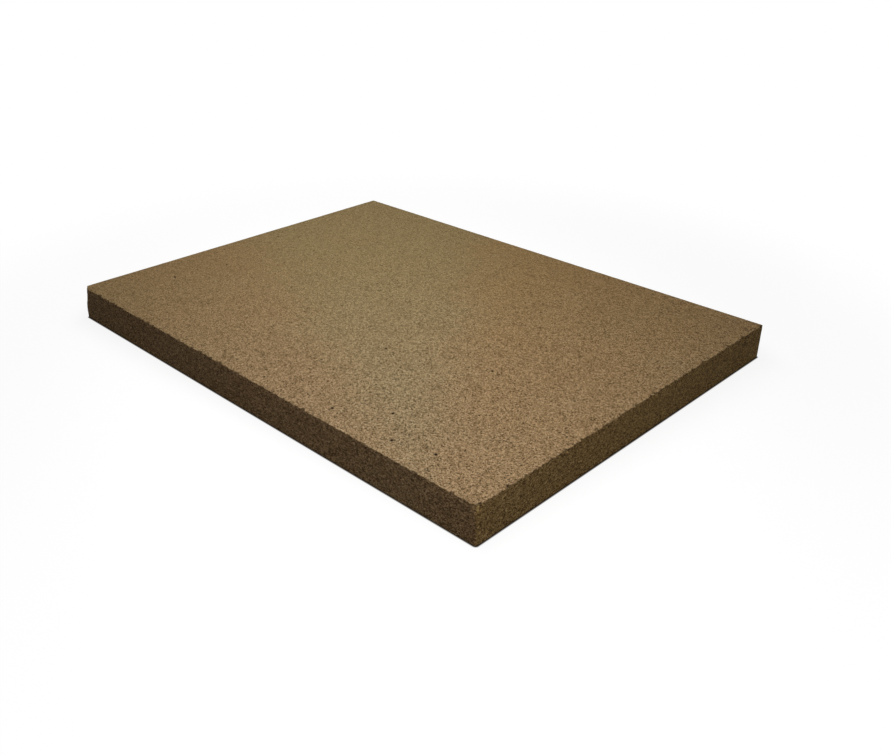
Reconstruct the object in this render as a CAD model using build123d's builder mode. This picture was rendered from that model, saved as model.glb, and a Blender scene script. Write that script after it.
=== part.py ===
from build123d import *
import os

# Vermiculite fire board: one slab of expanded vermiculite, hot-pressed flat with a mineral binder
# and sawn to a standard size. It lies on its underside, with its length along X, its width along Y
# and its thickness up Z. The origin is at the centre of the underside. All sizes are in millimetres.
board_length = 400
board_width = 300
board_thickness = 25

# The soft, grainy stock doesn't hold a sharp edge: the four upright corners are worn to a small
# radius, and so are the arrises all round the top and the underside.
corner_radius = 1
arris_radius = 0.5

os.makedirs("parts", exist_ok=True)

with BuildPart() as fire_board:
    # The sawn outline, seen from above
    with BuildSketch(Plane.XY):
        RectangleRounded(board_length, board_width, corner_radius)
    extrude(amount=board_thickness)

    # The worn arrises of the two pressed faces
    pressed_faces = fire_board.faces().filter_by(Axis.Z)
    fillet(pressed_faces.edges(), radius=arris_radius)

fire_board.part.label = "fire_board"
export_step(fire_board.part, "parts/fire_board.step")
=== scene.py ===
import math
import random

import bmesh
import bpy
from mathutils import Matrix, Vector, noise


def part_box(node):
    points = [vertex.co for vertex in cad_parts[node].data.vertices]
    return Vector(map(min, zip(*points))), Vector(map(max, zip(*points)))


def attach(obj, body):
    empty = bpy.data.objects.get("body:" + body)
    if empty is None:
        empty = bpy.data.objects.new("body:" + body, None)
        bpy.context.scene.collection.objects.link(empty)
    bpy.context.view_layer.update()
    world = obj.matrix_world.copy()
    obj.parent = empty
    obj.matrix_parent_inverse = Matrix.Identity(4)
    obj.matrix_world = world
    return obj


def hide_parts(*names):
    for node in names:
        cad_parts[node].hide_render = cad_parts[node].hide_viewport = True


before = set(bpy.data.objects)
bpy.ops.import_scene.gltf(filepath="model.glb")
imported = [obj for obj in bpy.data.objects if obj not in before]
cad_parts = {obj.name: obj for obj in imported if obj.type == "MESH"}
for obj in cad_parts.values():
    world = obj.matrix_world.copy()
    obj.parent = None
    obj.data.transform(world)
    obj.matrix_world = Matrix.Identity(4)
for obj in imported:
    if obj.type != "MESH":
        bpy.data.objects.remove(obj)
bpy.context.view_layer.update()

# Fire board
# One slab of expanded vermiculite, hot-pressed flat with a mineral binder, sawn to size and left bare. Its
# granules crumble, so voids pit every face, the arrises are nibbled, most of all along the top at the front
# and at the right end, and two corners have lost a tip.

mm = 0.001
board_low, board_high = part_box("fire_board")
board_size = board_high - board_low
board_centre = (board_low + board_high) / 2
corner_radius = 1 * mm
corner_facets = 4
arris_radius = 0.5 * mm
arris_facets = 3
least_upward = 0.5

slab = bmesh.new()
bmesh.ops.create_cube(slab, size=1, matrix=Matrix.LocRotScale(board_centre, None, board_size))


def is_pressed(face):
    """Whether a face is part of the pressed top or underside, and not of a sawn side."""
    return abs(face.normal.z) > least_upward


def round_off(edges, radius, facets):
    """Rounds edges of the slab."""
    bmesh.ops.bevel(
        slab, geom=edges, offset=radius, offset_type="OFFSET",
        affect="EDGES", segments=facets, profile=0.5, material=-1,
    )


upright_edges = [e for e in slab.edges if not any(is_pressed(f) for f in e.link_faces)]
round_off(upright_edges, corner_radius, corner_facets)
rim_edges = [e for e in slab.edges if len({is_pressed(f) for f in e.link_faces}) == 2]
round_off(rim_edges, arris_radius, arris_facets)

# The block is cut into a lattice of small cells, with closer rows along every edge
lattice_pitch = 2.3 * mm
rim_rows = (0.9 * mm, 1.4 * mm, 1.9 * mm, 2.5 * mm, 3.4 * mm)
cut_tolerance = mm / 10000


def cut_places(low, high):
    """Where the lattice cuts cross one axis: the rows near both edges, then even steps between."""
    start = low + rim_rows[-1]
    end = high - rim_rows[-1]
    steps = round((end - start) / lattice_pitch)
    even = [start + (end - start) * i / steps for i in range(steps + 1)]
    near_low = [low + row for row in rim_rows[:-1]]
    near_high = [high - row for row in rim_rows[:-1]]
    return [*near_low, *even, *near_high]


for axis in (0, 2, 1):
    cut_way = Vector((axis == 0, axis == 1, axis == 2))
    for place in cut_places(board_low[axis], board_high[axis]):
        bmesh.ops.bisect_plane(
            slab, geom=slab.verts[:] + slab.edges[:] + slab.faces[:], dist=cut_tolerance,
            plane_co=cut_way * place, plane_no=cut_way,
        )

# The cells beside the two worn arrises are cut shorter, so that small bites show
long_edge = 0.7 * lattice_pitch
rim_margin = 0.1 * mm
rim_cuts = 3


def nearest_edge(point):
    """The spot on the nearest arris or upright corner, how far off it is and the way in from it."""
    sides = [board_high[i] if point[i] > board_centre[i] else board_low[i] for i in range(3)]
    order = sorted(range(3), key=lambda i: abs(sides[i] - point[i]))
    spot = point.copy()
    inward = Vector()
    for i in order[:2]:
        spot[i] = sides[i]
        inward[i] = math.copysign(1, board_centre[i] - sides[i])
    return spot, abs(sides[order[1]] - point[order[1]]), inward.normalized()


def is_worn(inward):
    """Whether an edge is one of the two worn arrises: along the top, at the front and at the right end."""
    return inward.z < 0 and (inward.y > 0 or inward.x < 0)


def on_worn_rim(vert):
    """Whether a point lies among the closer rows beside a worn arris."""
    _, away, inward = nearest_edge(vert.co)
    return is_worn(inward) and away < rim_rows[-1] + rim_margin


long_rim_edges = [
    e for e in slab.edges
    if e.calc_length() > long_edge and all(on_worn_rim(v) for v in e.verts)
]
bmesh.ops.subdivide_edges(slab, edges=long_rim_edges, cuts=rim_cuts)

# Every point sinks a little below the true face, by a slow bow and by the relief of the pressed or sawn
# face, and strays along the face. Where an arris is nibbled or a tip is lost, it moves back to the plane
# where the piece broke off. Each pattern has a field of its own, a place elsewhere in the same noise
field_step = Vector((17.3, 41.9, 73.1))
bites = {"field": 1, "length": 2.8 * mm, "share": 0.56, "depth": 4.5 * mm}
nibbles = {"field": 2, "length": 1.2 * mm, "share": 0.50, "depth": 2.4 * mm}
relief = {"field": 3, "length": 3.0 * mm, "pressed": 0.08 * mm, "sawn": 0.30 * mm}
bow = {"field": 4, "length": 60 * mm, "depth": 0.15 * mm}
chips = {"field": 7, "length": 1.8 * mm, "depth": 0.7 * mm}
wear = {"field": 8, "length": 40 * mm, "least": 0.3}
unworn = 0.12
least_bite = 0.05 * mm
deepest_bite = 2.4 * mm
bite_steepness = 1.3
broken_shade = 0.45
stray = 0.5 * mm
stray_length = 1.6 * mm
stray_start = 2.2 * mm
stray_seed = 41
lost_tips = (
    {"corner": (board_high.x, board_low.y, board_high.z), "reach": (3.2 * mm, -6.0 * mm, 9.0 * mm)},
    {"corner": (board_low.x, board_low.y, board_high.z), "reach": (-6.0 * mm, -3.4 * mm, 20 * mm)},
)


def wave(point, pattern):
    """Smooth noise from 0 to 1 with bumps about as long as the pattern's length."""
    return (1 + noise.noise(point / pattern["length"] + pattern["field"] * field_step)) / 2


def bitten(spot, pattern):
    """How far a pattern of bites goes in: nothing up to its share of the noise, then down to its depth."""
    beyond = max(0, wave(spot, pattern) - pattern["share"])
    return pattern["depth"] * (beyond / (1 - pattern["share"]))


def bite_plane(bite, inward):
    """The plane that a bite leaves at an edge: outward, and along each axis one over the bite's reach."""
    reach = Vector((bite, bite, bite * bite_steepness))
    return Vector([-math.copysign(1 / reach[i], inward[i]) if inward[i] else 0 for i in range(3)])


def break_off(point, corner, plane):
    """How far to move a point back to the plane where a piece broke off a corner or an edge."""
    beyond = (point - corner).dot(plane) + 1
    return -plane.normalized() * max(0, beyond) / plane.length


sawn = slab.verts.layers.float.new("sawn")
short_side = slab.verts.layers.float.new("short_side")
hollow = slab.verts.layers.float.new("hollow")
slab.normal_update()
# Vector noise starts from the clock unless it is seeded
noise.seed_set(stray_seed)
for vert in slab.verts:
    point = vert.co.copy()
    normal = vert.normal.copy()
    spot, away, inward = nearest_edge(point)
    side = 1 - abs(normal.z)
    rubbed = wear["least"] + wave(spot, wear) if is_worn(inward) else unworn
    bite = rubbed * (bitten(spot, bites) + bitten(spot, nibbles))
    bite = max(least_bite, min(deepest_bite, bite))
    broken = break_off(point, spot, bite_plane(bite, inward))
    face_relief = relief["pressed"] + (relief["sawn"] - relief["pressed"]) * side
    sunk = face_relief * wave(point, relief) + bow["depth"] * wave(point, bow)
    strayed = noise.noise_vector(point / stray_length) * stray * min(1, away / stray_start)
    strayed -= normal * strayed.dot(normal)
    moved = point + strayed - normal * sunk + broken
    for tip in lost_tips:
        tip_plane = Vector([1 / reach for reach in tip["reach"]])
        lost = break_off(moved, Vector(tip["corner"]), tip_plane)
        if lost.length:
            moved += lost - tip_plane.normalized() * chips["depth"] * wave(point, chips)
    vert.co = moved
    vert[sawn] = side
    vert[short_side] = abs(normal.x)
    # Points on a broken arris take the broken shade, painted into the board's colour as the shade that
    # falls there
    vert[hollow] = broken_shade if broken.length > least_bite else 0

# Voids where a granule fell out: shallow ones scattered over every face, and the few deep ones that stand
# out dark on the top.
# Each void's inside is darkened by painted shade, in full in the deep ones. Only whole cells of the lattice
# are opened
void_kinds = (
    {"share": 0.010, "lip": 0.75 * mm, "depth": 0.5 * mm, "shade": 0.35},
    {"share": 0.003, "lip": 0.60 * mm, "depth": 0.8 * mm, "shade": 0.50},
)
deep_void = {"lip": 0.50 * mm, "depth": 1.2 * mm, "shade": 1.0}
deep_spots_mm = ((151, -129), (103, -115), (125, -137), (110, -35), (74, -136), (40, -60), (-167, -89))
void_wall = 0.12 * mm
lip_drop = 0.2
sawn_voids = 1.5
whole_cell = 0.6 * lattice_pitch ** 2
void_seed = 41


def open_voids(faces, kind):
    """Sinks a steep-walled void into each face, leaving a lip around it, and gives its points the kind's
    painted shade.
    """
    lip = (kind["lip"], lip_drop * kind["depth"])
    wall = (void_wall, (1 - lip_drop) * kind["depth"])
    for width, drop in (lip, wall):
        bmesh.ops.inset_individual(slab, faces=faces, thickness=width, depth=-drop, use_even_offset=True)
        for face in faces:
            for vert in face.verts:
                vert[hollow] = kind["shade"]


open_faces = [f for f in slab.faces if len(f.verts) == 4 and f.calc_area() > whole_cell]
top_faces = [f for f in open_faces if f.normal.z > least_upward]
deep_faces = []
for x, y in deep_spots_mm:
    deep_spot = Vector((x * mm, y * mm, board_high.z))
    deep_faces.append(min(top_faces, key=lambda f: (f.calc_center_median() - deep_spot).length_squared))
open_voids(deep_faces, deep_void)
taken = set(deep_faces)
dice = random.Random(void_seed)
for kind in void_kinds:
    picked = []
    for face in open_faces:
        share = kind["share"] * (1 if is_pressed(face) else sawn_voids)
        if dice.random() < share and face not in taken:
            picked.append(face)
    taken.update(picked)
    open_voids(picked, kind)

# Each face is split along its shorter diagonal, so that the surface is the same each run
bmesh.ops.triangulate(slab, faces=slab.faces[:], quad_method="SHORT_EDGE", ngon_method="BEAUTY")
for face in slab.faces:
    face.smooth = True
slab.normal_update()
board_mesh = bpy.data.meshes.new("vermiculite_board")
slab.to_mesh(board_mesh)
slab.free()
board = bpy.data.objects.new("vermiculite_board", board_mesh)
bpy.context.scene.collection.objects.link(board)
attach(board, "root")
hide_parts("fire_board")

# The finish is matt: flat tan and brown granules with finer grit between them, a few pale flakes, brighter
# as painted glints on the sawn sides, and pores painted dark with the shade inside them


class Wire:
    """One socket of a material's nodes. Arithmetic on wires and numbers adds Math nodes."""

    def __init__(self, tree, socket=None):
        self.tree = tree
        self.socket = socket

    def node(self, kind, settings=None, inputs=None, output=0):
        """Adds a node of that type: its settings first, then its sockets' values or links."""
        made = self.tree.nodes.new(kind)
        for name, value in (settings or {}).items():
            if name == "stops":
                while len(made.color_ramp.elements) < len(value):
                    made.color_ramp.elements.new(1)
                for element, (place, colour) in zip(made.color_ramp.elements, value):
                    element.position = place
                    element.color = (*colour, 1)
            else:
                setattr(made, name, value)
        for name, value in (inputs or {}).items():
            if isinstance(value, Wire):
                self.tree.links.new(value.socket, made.inputs[name])
            else:
                made.inputs[name].default_value = value
        return Wire(self.tree, made.outputs[output] if made.outputs else None)

    def output(self, name):
        """Another output of the node that this wire comes from."""
        return Wire(self.tree, self.socket.node.outputs[name])

    def math(self, operation, *values):
        """A Math node's result."""
        return self.node("ShaderNodeMath", {"operation": operation}, dict(enumerate(values)))

    def __add__(self, other):
        return self.math("ADD", self, other)

    def __radd__(self, other):
        return self.math("ADD", other, self)

    def __sub__(self, other):
        return self.math("SUBTRACT", self, other)

    def __rsub__(self, other):
        return self.math("SUBTRACT", other, self)

    def __mul__(self, other):
        return self.math("MULTIPLY", self, other)

    def __rmul__(self, other):
        return self.math("MULTIPLY", other, self)

    def __abs__(self):
        return self.math("ABSOLUTE", self)

    def ramp(self, low, high):
        """0 below low, 1 above high and smooth between."""
        return self.node(
            "ShaderNodeMapRange", {"interpolation_type": "SMOOTHSTEP"},
            {"Value": self, "From Min": low, "From Max": high},
        )

    def vector_math(self, operation, *values, output=0):
        """A Vector Math node's result, or its Value for a single number."""
        return self.node("ShaderNodeVectorMath", {"operation": operation}, dict(enumerate(values)), output)

    def blend(self, first, second, way="MIX"):
        """Mixes two colours by this factor."""
        colours = [c if isinstance(c, Wire) else (*c, 1) for c in (first, second)]
        return self.node(
            "ShaderNodeMix", {"data_type": "RGBA", "blend_type": way},
            {0: self, 6: colours[0], 7: colours[1]}, output=2,
        )


granule_size = 1.2 * mm
grit_size = 0.42 * mm
pore_spacing = 1.4 * mm
cloud_size = 9 * mm
patch_size = 45 * mm
pressed_flat = 1.6
ragged_length = 1.0 * mm
ragged_shift = 0.6 * mm

vermiculite = bpy.data.materials.new("pressed_vermiculite")
vermiculite.use_nodes = True
vermiculite.node_tree.nodes.clear()
finish = Wire(vermiculite.node_tree)
on_board = finish.node("ShaderNodeTexCoord", output="Object")
sawn_part = finish.node("ShaderNodeAttribute", {"attribute_name": "sawn"}, output="Fac")
short_part = finish.node("ShaderNodeAttribute", {"attribute_name": "short_side"}, output="Fac")
painted_shade_part = finish.node("ShaderNodeAttribute", {"attribute_name": "hollow"}, output="Fac")


def by_face(pair):
    """The first value of a pair on the pressed faces, and the second on the sawn sides."""
    pressed, cut = pair
    return pressed + (cut - pressed) * sawn_part


# Granules lie flat, so the pattern is squeezed along Z, and their outlines are ragged
layered = finish.node("ShaderNodeMapping", None, {"Vector": on_board, "Scale": (1, 1, pressed_flat)})
raggedness = finish.node(
    "ShaderNodeTexNoise", None,
    {"Vector": layered, "Scale": 1 / ragged_length, "Detail": 2, "Roughness": 0.6}, output="Color",
)
shift = (ragged_shift, ragged_shift, ragged_shift)
ragged = finish.vector_math("MULTIPLY_ADD", raggedness, shift, layered)
granule = finish.node("ShaderNodeTexVoronoi", None, {"Vector": ragged, "Scale": 1 / granule_size})
joint = finish.node(
    "ShaderNodeTexVoronoi", {"feature": "DISTANCE_TO_EDGE"}, {"Vector": ragged, "Scale": 1 / granule_size},
)
grit = finish.node("ShaderNodeTexVoronoi", None, {"Vector": ragged, "Scale": 1 / grit_size})
pore = finish.node("ShaderNodeTexVoronoi", None, {"Vector": ragged, "Scale": 1 / pore_spacing})
granule_draw = finish.node("ShaderNodeSeparateColor", None, {"Color": granule.output("Color")})
grit_draw = finish.node("ShaderNodeSeparateColor", None, {"Color": grit.output("Color")})
pore_draw = finish.node("ShaderNodeSeparateColor", None, {"Color": pore.output("Color")})
cloud = finish.node("ShaderNodeTexNoise", None, {"Vector": on_board, "Scale": 1 / cloud_size, "Detail": 2})
patch = finish.node("ShaderNodeTexNoise", None, {"Vector": on_board, "Scale": 1 / patch_size, "Detail": 1})

# Two ways over the board, in metres from its middle: along runs from the back left corner to the near one
# at the front right, and across runs from the front left to the back right
along_way = (0.77, -0.64, 0)
across_way = (0.64, 0.77, 0)
along = finish.vector_math("DOT_PRODUCT", on_board, along_way, output="Value")
across = finish.vector_math("DOT_PRODUCT", on_board, across_way, output="Value")

# Each granule and each bit of grit draws its own tone. The sawn sides show more contrast, and the grain is
# calmer towards the back left corner
granule_colours = (
    (0.00, (0.095, 0.058, 0.025)),
    (0.28, (0.185, 0.122, 0.056)),
    (0.50, (0.275, 0.187, 0.090)),
    (0.72, (0.350, 0.244, 0.122)),
    (1.00, (0.480, 0.352, 0.192)),
)
middle = 0.5
granule_swing = (0.45, 1.10)
grit_swing = 1.08
cloud_swing = 0.15
contrast = (1, 1.5)
calmness = (0.45, 0.15)
calm_zone = (-160 * mm, 220 * mm)
lively = 1 - by_face(calmness) * (1 - along.ramp(*calm_zone))
swing = by_face(granule_swing) * (granule_draw - middle) + grit_swing * (grit_draw - middle)
swing = swing + cloud_swing * (cloud - middle)
tone = middle + swing * by_face(contrast) * lively
colour = finish.node("ShaderNodeValToRGB", {"stops": granule_colours}, {"Fac": tone})

# Some grit is pale, and so are a few whole granules where the saw cut them open. On the sawn sides the pale
# colour is brighter, as a painted glint
pale_flake = (0.60, 0.46, 0.28)
painted_glint_flake = (0.88, 0.69, 0.44)
pale_from = (0.93, 0.86)
pale_edge = 0.04
pale_strength = (0.65, 1)
large_flake_zone = (0.93, 0.95)
large_flake_strength = 0.75
flake = sawn_part.blend(pale_flake, painted_glint_flake)
pale_start = by_face(pale_from)
pale = grit_draw.output("Green").ramp(pale_start, pale_start + pale_edge)
colour = (by_face(pale_strength) * pale * lively).blend(colour, flake)
large_flake = granule_draw.output("Blue").ramp(*large_flake_zone)
colour = (large_flake_strength * large_flake * sawn_part * lively).blend(colour, flake)

# Pores are painted dark, standing for the shade inside them; they are mostly small, and smaller on the sawn
# sides
painted_pore_shade = (0.040, 0.023, 0.010)
widest_pore = (0.38, 0.14)
pore_rim = (0.02, 0.12)
pore_strength = 0.95
pore_size = pore_draw * pore_draw * by_face(widest_pore)
hole = 1 - (pore - pore_size).ramp(*pore_rim)
colour = (pore_strength * hole * lively).blend(colour, painted_pore_shade)

# The board is more olive in a wedge that narrows from its back left corner to the near one, under the soft
# box, which is the box's cool sheen painted into the colour, and browner beside it.
# Patches and single granules differ in the same way in their own tone, and the sawn sides show half of it
olive_tone_and_sheen = (0.985, 1.03, 1.01)
front_brown_tint = (1.015, 0.955, 0.925)
back_brown_tint = (1.015, 0.930, 0.835)
wedge_shift = 16 * mm
wedge_taper = 0.26
wedge_half_width = 58 * mm
wedge_blur = (-30 * mm, 40 * mm)
front_to_back = (-100 * mm, 100 * mm)
patch_swing = 0.9
hue_swing = 0.5
hue_strength = (1, 0.5)
off_sheen_wedge = abs(across + wedge_shift) + wedge_taper * along - wedge_half_width
own_hue = hue_swing * (granule_draw.output("Green") - middle)
brownness = off_sheen_wedge.ramp(*wedge_blur) + patch_swing * (patch - middle) + own_hue
brown_tint = across.ramp(*front_to_back).blend(front_brown_tint, back_brown_tint)
hue_and_sheen_tint = (brownness * by_face(hue_strength)).blend(olive_tone_and_sheen, brown_tint)
colour = finish.node(
    "ShaderNodeMix", {"data_type": "RGBA", "blend_type": "MULTIPLY"},
    {0: 1, 6: colour, 7: hue_and_sheen_tint}, output=2,
)

# The pressed faces are a little darker and yellower towards the back left corner, and lighter and bluer
# towards the near one, as painted light and shade. The sawn sides are darker than they are, partly as their
# own colour and partly as painted shade, the short ones lighter and yellower than the long ones, and both
# dimmer at the near corner, as painted light and shade
far_painted_shade = (0.965, 0.965, 0.90)
near_painted_light = (1.02, 1.025, 1.11)
far_to_near = (-150 * mm, 250 * mm)
long_side_tone_and_shade = (0.56, 0.473, 0.405)
short_side_tone_and_light = (0.73, 0.632, 0.436)
near_corner_painted_shade = (0.90, 0.90, 0.92)
near_corner_zone = (140 * mm, 260 * mm)
painted_face_light = along.ramp(*far_to_near).blend(far_painted_shade, near_painted_light)
colour = (1 - sawn_part).blend(colour, painted_face_light, "MULTIPLY")
# Painted light and shade: the sides are partly their own darker sawn colour and partly painted shade, and
# the short ones are painted lighter than the long ones
side_tone_and_light = short_part.blend(long_side_tone_and_shade, short_side_tone_and_light)
colour = sawn_part.blend(colour, side_tone_and_light, "MULTIPLY")
# Painted shade: the sides are dimmed towards the near corner
colour = (sawn_part * along.ramp(*near_corner_zone)).blend(colour, near_corner_painted_shade, "MULTIPLY")

# Painted shade: voids and broken arrises are darkened inside, standing for the shade that falls in them
void_shade = (0.012, 0.008, 0.005)
colour = painted_shade_part.blend(colour, void_shade)

# Granules stand up like low domes at uneven heights, pores sink in, and flakes are a little less matt
dome_edge = 0.35
dome_height = 0.45
granule_height = 0.3
grit_height = 0.3
pore_depth = 0.9
grain_depth = 0.3 * mm
grain_strength = 0.6
plain_roughness = 0.92
flake_sheen = 0.25
granule_sheen = 0.10
board_gloss = 0.08
uneven = granule_height * granule_draw.output("Blue") + grit_height * grit_draw.output("Blue")
height = dome_height * joint.ramp(0, dome_edge) + uneven - pore_depth * hole
grain_normal = finish.node(
    "ShaderNodeBump", None, {"Strength": grain_strength, "Distance": grain_depth, "Height": height},
)
roughness = plain_roughness - flake_sheen * pale - granule_sheen * granule_draw.output("Blue")
surface = finish.node(
    "ShaderNodeBsdfPrincipled", None,
    {
        "Base Color": colour, "Roughness": roughness, "Normal": grain_normal,
        "Specular IOR Level": board_gloss,
    },
)
finish.node("ShaderNodeOutputMaterial", None, {"Surface": surface})
board_mesh.materials.append(vermiculite)

# Floor
# A plain pale studio floor, level with the underside of the board. To the camera it is white, with the
# board's soft shadow on it and a painted dark contact shadow along its foot, and it throws little light
# back on the board.

floor_reach = 3.0
floor_grey = 0.30
shadow_grey = 0.18
floor_glow = 0.87
shadow_zone = (0.24, 0.45)
painted_contact_shadow = (0.06, 0.045, 0.03)
contact_shadow_zone = (0.1 * mm, 1.3 * mm)
contact_corner = 1.5 * mm

floor_mesh = bpy.data.meshes.new("studio_floor")
sheet = bmesh.new()
bmesh.ops.create_grid(
    sheet, x_segments=1, y_segments=1, size=floor_reach, matrix=Matrix.Translation((0, 0, board_low.z)),
)
sheet.to_mesh(floor_mesh)
sheet.free()
floor = bpy.data.objects.new("studio_floor", floor_mesh)
bpy.context.scene.collection.objects.link(floor)

pale_floor = bpy.data.materials.new("pale_floor")
pale_floor.use_nodes = True
pale_floor.node_tree.nodes.clear()
paint = Wire(pale_floor.node_tree)


def is_seen(wire):
    """1 for what the camera sees, straight on or by way of gloss or glass, and 0 for light on its way."""
    ray = wire.node("ShaderNodeLightPath", output="Is Camera Ray")
    straight_or_gloss = ray.math("MAXIMUM", ray, ray.output("Is Glossy Ray"))
    return ray.math("MAXIMUM", straight_or_gloss, ray.output("Is Transmission Ray"))


# The shadow is seen near the board, and farther off the floor is plain white
on_floor = paint.node("ShaderNodeTexCoord", output="Object")
far_off = paint.vector_math("LENGTH", on_floor, output="Value").ramp(*shadow_zone)
matt = paint.node("ShaderNodeBsdfDiffuse", None, {"Color": (floor_grey, floor_grey, floor_grey, 1)})
glow = paint.node("ShaderNodeEmission", None, {"Strength": floor_glow})
shaded = paint.node("ShaderNodeBsdfDiffuse", None, {"Color": (shadow_grey, shadow_grey, shadow_grey, 1)})
lit = paint.node("ShaderNodeAddShader", None, {0: shaded, 1: glow})
white = paint.node("ShaderNodeEmission", None, {"Strength": 1})
open_floor = paint.node("ShaderNodeMixShader", None, {0: far_off, 1: lit, 2: white})

# A painted contact shadow: under and right beside the board the floor is painted dark, in the board's
# outline with rounded corners
core_size = (board_size.x / 2 - contact_corner, board_size.y / 2 - contact_corner, 0)
from_middle = paint.vector_math("ABSOLUTE", on_floor)
past_core = paint.vector_math("SUBTRACT", from_middle, core_size)
outside = paint.vector_math("MAXIMUM", past_core, (0, 0, 0))
gap = paint.vector_math("LENGTH", outside, output="Value") - contact_corner
painted_shadow = paint.node("ShaderNodeBsdfDiffuse", None, {"Color": (*painted_contact_shadow, 1)})
shown = paint.node("ShaderNodeMixShader", None, {0: gap.ramp(*contact_shadow_zone), 1: painted_shadow, 2: open_floor})
cover = paint.node("ShaderNodeMixShader", None, {0: is_seen(paint), 1: matt, 2: shown})
paint.node("ShaderNodeOutputMaterial", None, {"Surface": cover})
floor_mesh.materials.append(pale_floor)

# Studio light
# One long soft box hangs over the board, along the line from the near corner to the back one, so the
# top is bright and the sides stay dim, and the white surround gives a weak fill from everywhere.

box_place = Vector((0.125, -0.12, 0.35))
box_length = 1.05
box_width = 0.20
box_turn = math.radians(-36)
box_power = 2.20
fill_strength = 0.13

soft_box = bpy.data.lights.new("soft_box", "AREA")
soft_box.shape = "RECTANGLE"
soft_box.size = box_length
soft_box.size_y = box_width
soft_box.energy = box_power
lamp = bpy.data.objects.new("soft_box", soft_box)
lamp.location = box_place
lamp.rotation_euler.z = box_turn
lamp.visible_camera = False
bpy.context.scene.collection.objects.link(lamp)

surround = bpy.data.worlds.new("white_surround")
surround.use_nodes = True
surround.node_tree.nodes.clear()
air = Wire(surround.node_tree)
fill = air.node("ShaderNodeBackground", None, {"Strength": fill_strength})
backdrop = air.node("ShaderNodeBackground", None, {"Color": (1, 1, 1, 1), "Strength": 1})
sky = air.node("ShaderNodeMixShader", None, {0: is_seen(air), 1: fill, 2: backdrop})
air.node("ShaderNodeOutputWorld", None, {"Surface": sky})
bpy.context.scene.world = surround

# Camera
# It looks down over the near corner, with the long side running off to the left, as the board was
# photographed.

aim = Vector((0.0875, -0.0722, 0.025))
azimuth = math.radians(44.410)
elevation = math.radians(28.406)
distance = 0.5873
roll = math.radians(0.108)
lens_length = 38.11
sensor_width = 36
shift_right = 0.0228
shift_up = 0.0015
nearest_shown = 0.01

view = bpy.data.cameras.new("photo_view")
view.lens = lens_length
view.sensor_width = sensor_width
view.shift_x = shift_right
view.shift_y = shift_up
view.clip_start = nearest_shown
camera = bpy.data.objects.new("photo_view", view)
back = Vector((
    math.sin(azimuth) * math.cos(elevation),
    -math.cos(azimuth) * math.cos(elevation),
    math.sin(elevation),
))
turn = (-back).to_track_quat("-Z", "Y").to_matrix() @ Matrix.Rotation(roll, 3, "Z")
camera.matrix_world = Matrix.LocRotScale(aim + back * distance, turn.to_quaternion(), None)
bpy.context.scene.collection.objects.link(camera)
bpy.context.scene.camera = camera
bpy.context.scene.view_settings.view_transform = "Standard"
